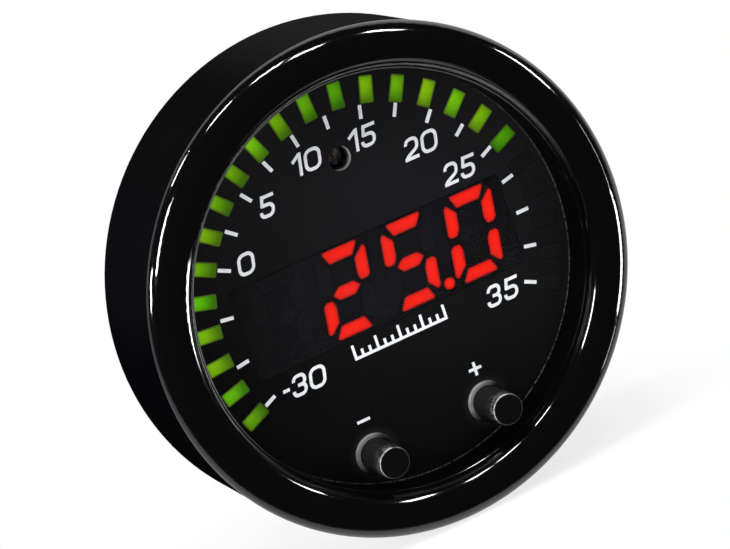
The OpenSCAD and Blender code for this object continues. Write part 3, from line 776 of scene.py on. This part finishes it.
def handled_black():
    material, shader, place = finish("handled_black", Specular_IOR_Level=0.12)
    reach, upper_left = round_button(place)
    _, y, _ = place.split()
    from_tip = y - cap_tip_y
    ring = reach.ramp(*(cap_radius - inward for inward in tip_ring))
    near_tip = 1 - from_tip.ramp(*painted_speck_reach)
    edge = ring * (1 - from_tip.ramp(*tip_edge))
    smudge = place.noise(smudge_size, 6, 0.75)
    # Painted highlight: fine glinting specks on the cap's rim near the tip, on its upper left.
    painted_specks = smudge.ramp(*painted_speck_range) * near_tip * upper_left.ramp(0, 1) * ring
    # Painted highlight: the tip's edge is lighter all round, and most on its upper left.
    bright = upper_left.ramp(*painted_glint_side) * smudge.ramp(*painted_glint_breakup)
    level = cap_level + edge * (edge_painted_low + bright * edge_painted_high)
    level = level + ring * smudge * smudge_level + painted_specks * painted_speck_level
    tint = ring.blend(grey(1, cap_tint), grey(1))
    roughness = cap_roughness - edge * edge_polish + smudge * smudge_roughness
    feed(shader, Base_Color=tint.dimmed(level), Roughness=roughness,
         Normal=smudge.bump(smudge_relief))
    return material


def collar_painted_light():
    material, shader, place = finish("collar_painted_light", Specular_IOR_Level=0.3)
    _, upper_left = round_button(place)
    film = place.noise(collar_film, 4)
    # Painted light: the collar is pale on its upper left, where it is lit, and dark elsewhere.
    level = collar_level + upper_left.ramp(*collar_painted_light_side) * film.between(*collar_painted_light_levels)
    tint = film.blend(warm_collar, cool_collar)
    feed(shader, Base_Color=tint.dimmed(level), Roughness=film.between(0.35, 0.5),
         Normal=film.bump(collar_relief))
    return material


caps = handled_black()
switch_shell = plain_plastic("switch_shell", (0.02, 0.02, 0.021), 0.4, 0.6)
cream = plain_plastic("cream_nylon", (0.62, 0.58, 0.48), 0.35, 0.55)
for side in ("left", "right"):
    paint(side + "_button_cap", caps)
    paint(side + "_switch_body", switch_shell)
    paint(side + "_switch_plunger", cream)
paint("button_collars", collar_painted_light())
paint("switch_domes", metal("spring_steel", (0.7, 0.68, 0.62), 0.0003, 0.15, 0.3))


# Connectors and inserts
# Two latching sockets with plated posts stand out of the cup, between two brass inserts
# that take the screws of the clamp bracket.
connector_nylon = plain_plastic("connector_nylon", (0.014, 0.014, 0.015), 0.35, 0.55)
for name in ("power_connector", "sensor_connector"):
    paint(name, connector_nylon)
for name in ("power_posts", "sensor_posts"):
    paint(name, plated_contact)
paint("bracket_inserts", metal("turned_brass", (0.75, 0.55, 0.22), 0.00025, 0.2, 0.36))


# Floor
# A plain pale sheet under the gauge. It shows white to the camera and keeps a soft shadow.
floor_size = 4
pale_fibre, dull_fibre = grey(0.8), grey(0.792)
floor_lift = 0.78
fibre_size = 0.01
shadow_reach = (0.022, 0.05)


def pale_floor():
    material, shader, place = finish("pale_floor", Specular_IOR_Level=0.0)
    fibres = place.noise(fibre_size, 2)
    feed(shader, Base_Color=fibres.blend(dull_fibre, pale_fibre), Roughness=fibres.between(0.85, 0.95))
    x, y, _ = place.split()
    seen = place.node("ShaderNodeLightPath", None, None, "Is Camera Ray")
    white = place.node("ShaderNodeEmission", None, {"Color": grey(1), "Strength": 1.0})
    # Painted light: camera rays see the floor lifted towards white, fully beyond the shadow's reach,
    # so its shadow shows only near the gauge.
    lift = seen * distance(x, y).ramp(*shadow_reach).between(floor_lift, 1)
    lifted = place.node("ShaderNodeMixShader", None, {0: lift, 2: white})
    tree = material.node_tree
    tree.links.new(shader.outputs[0], lifted.socket.node.inputs[1])
    tree.links.new(lifted.socket, tree.nodes["Material Output"].inputs["Surface"])
    return material


sheet = bmesh.new()
bmesh.ops.create_grid(sheet, x_segments=1, y_segments=1, size=floor_size / 2,
                      matrix=Matrix.Translation((0, 0, cad_box[0].z)))
floor_mesh = bpy.data.meshes.new("floor")
sheet.to_mesh(floor_mesh)
sheet.free()
floor_mesh.materials.append(pale_floor())
floor = bpy.data.objects.new("floor", floor_mesh)
scene.collection.objects.link(floor)
floor.visible_glossy = False


# Studio lights
# Eleven soft boxes stand in an arch round the camera's axis, from one side over the top to the
# other. Polished pieces see a dark room in front of the gauge and a pale one behind it, which
# is dark in one corner.
box_distance = 0.5
box_level = 40
fill_level = 0.22
room_front, room_back = 0.03, 0.6
back_edge, back_up, back_right, back_down = (0.2, 0.42), 0.35, 0.15, 0.45
down_range, down_share = (0.25, 0.9), 0.32
dark_corner = camera_right * 0.853 + camera_up * 0.492 + camera_forward * 0.174
corner_size, corner_loss = (0.88, 0.96), 0.85
soft_boxes = {  # clock angle from the camera's right, angle from its axis, width, height, power
    "right": (-5.5, 90.5, 16, 11.5, 0.75), "right_low": (-18, 97, 6, 5, 0.15),
    "right_strip": (9, 87, 12, 1.5, 0.35), "right_high": (31, 86, 15, 4, 1),
    "top_right": (60.5, 66.5, 12, 5, 1.1),
    "top_front": (83, 57.5, 12.5, 5, 1.1), "top": (101.5, 60, 12.5, 5.5, 1.1),
    "top_left": (125.5, 64, 12, 5.5, 1.1), "left_high": (151, 84.5, 9, 7, 1),
    "left": (175.5, 47, 30, 9, 1.05), "left_low": (188, 80, 13, 9, 0.95)}

for name, (clock, tilt, width, height, power) in soft_boxes.items():
    clock, tilt = math.radians(clock), math.radians(tilt)
    sideways = camera_right * math.cos(clock) + camera_up * math.sin(clock)
    out = sideways * math.sin(tilt) - camera_forward * math.cos(tilt)
    along = camera_up * math.cos(clock) - camera_right * math.sin(clock)
    lamp = bpy.data.lights.new(name, "AREA")
    lamp.shape = "RECTANGLE"
    lamp.size = math.radians(width) * math.sin(tilt) * box_distance
    lamp.size_y = math.radians(height) * box_distance
    lamp.energy = box_level * power * math.pi * lamp.size * lamp.size_y
    box = bpy.data.objects.new(name, lamp)
    scene.collection.objects.link(box)
    box.matrix_world = Matrix.Translation(Vector((0, face_y, 0)) + out * box_distance) @ Matrix(
        (along, out.cross(along), out)).transposed().to_4x4()
    box.visible_camera = False

world = bpy.data.worlds.new("studio")
scene.world = world
world.use_nodes = True
background = world.node_tree.nodes["Background"]
way = Flow(world.node_tree.nodes.new("ShaderNodeTexCoord").outputs["Generated"])
rays = world.node_tree.nodes.new("ShaderNodeLightPath")
to_camera, to_gloss, to_glass = (Flow(rays.outputs[name]) for name in (
    "Is Camera Ray", "Is Glossy Ray", "Is Transmission Ray"))
ahead, aloft, aside, corner = (
    way.node("ShaderNodeVectorMath", {"operation": "DOT_PRODUCT"}, {0: way, 1: axis}, "Value")
    for axis in (camera_forward, camera_up, camera_right, dark_corner))
down = (aloft * -1).ramp(*down_range)
back = room_back + aloft * back_up + aside * back_right + down * back_down
back = back * (ahead + down * down_share).ramp(*back_edge)
back = back * (1 - corner.ramp(*corner_size) * corner_loss)
mirrored = to_gloss.maths("MAXIMUM", to_glass)
unseen = mirrored * (back + room_front) + (1 - mirrored) * fill_level
level = to_camera + (1 - to_camera) * unseen
world.node_tree.links.new(level.socket, background.inputs["Strength"])
background.inputs["Color"].default_value = grey(1)
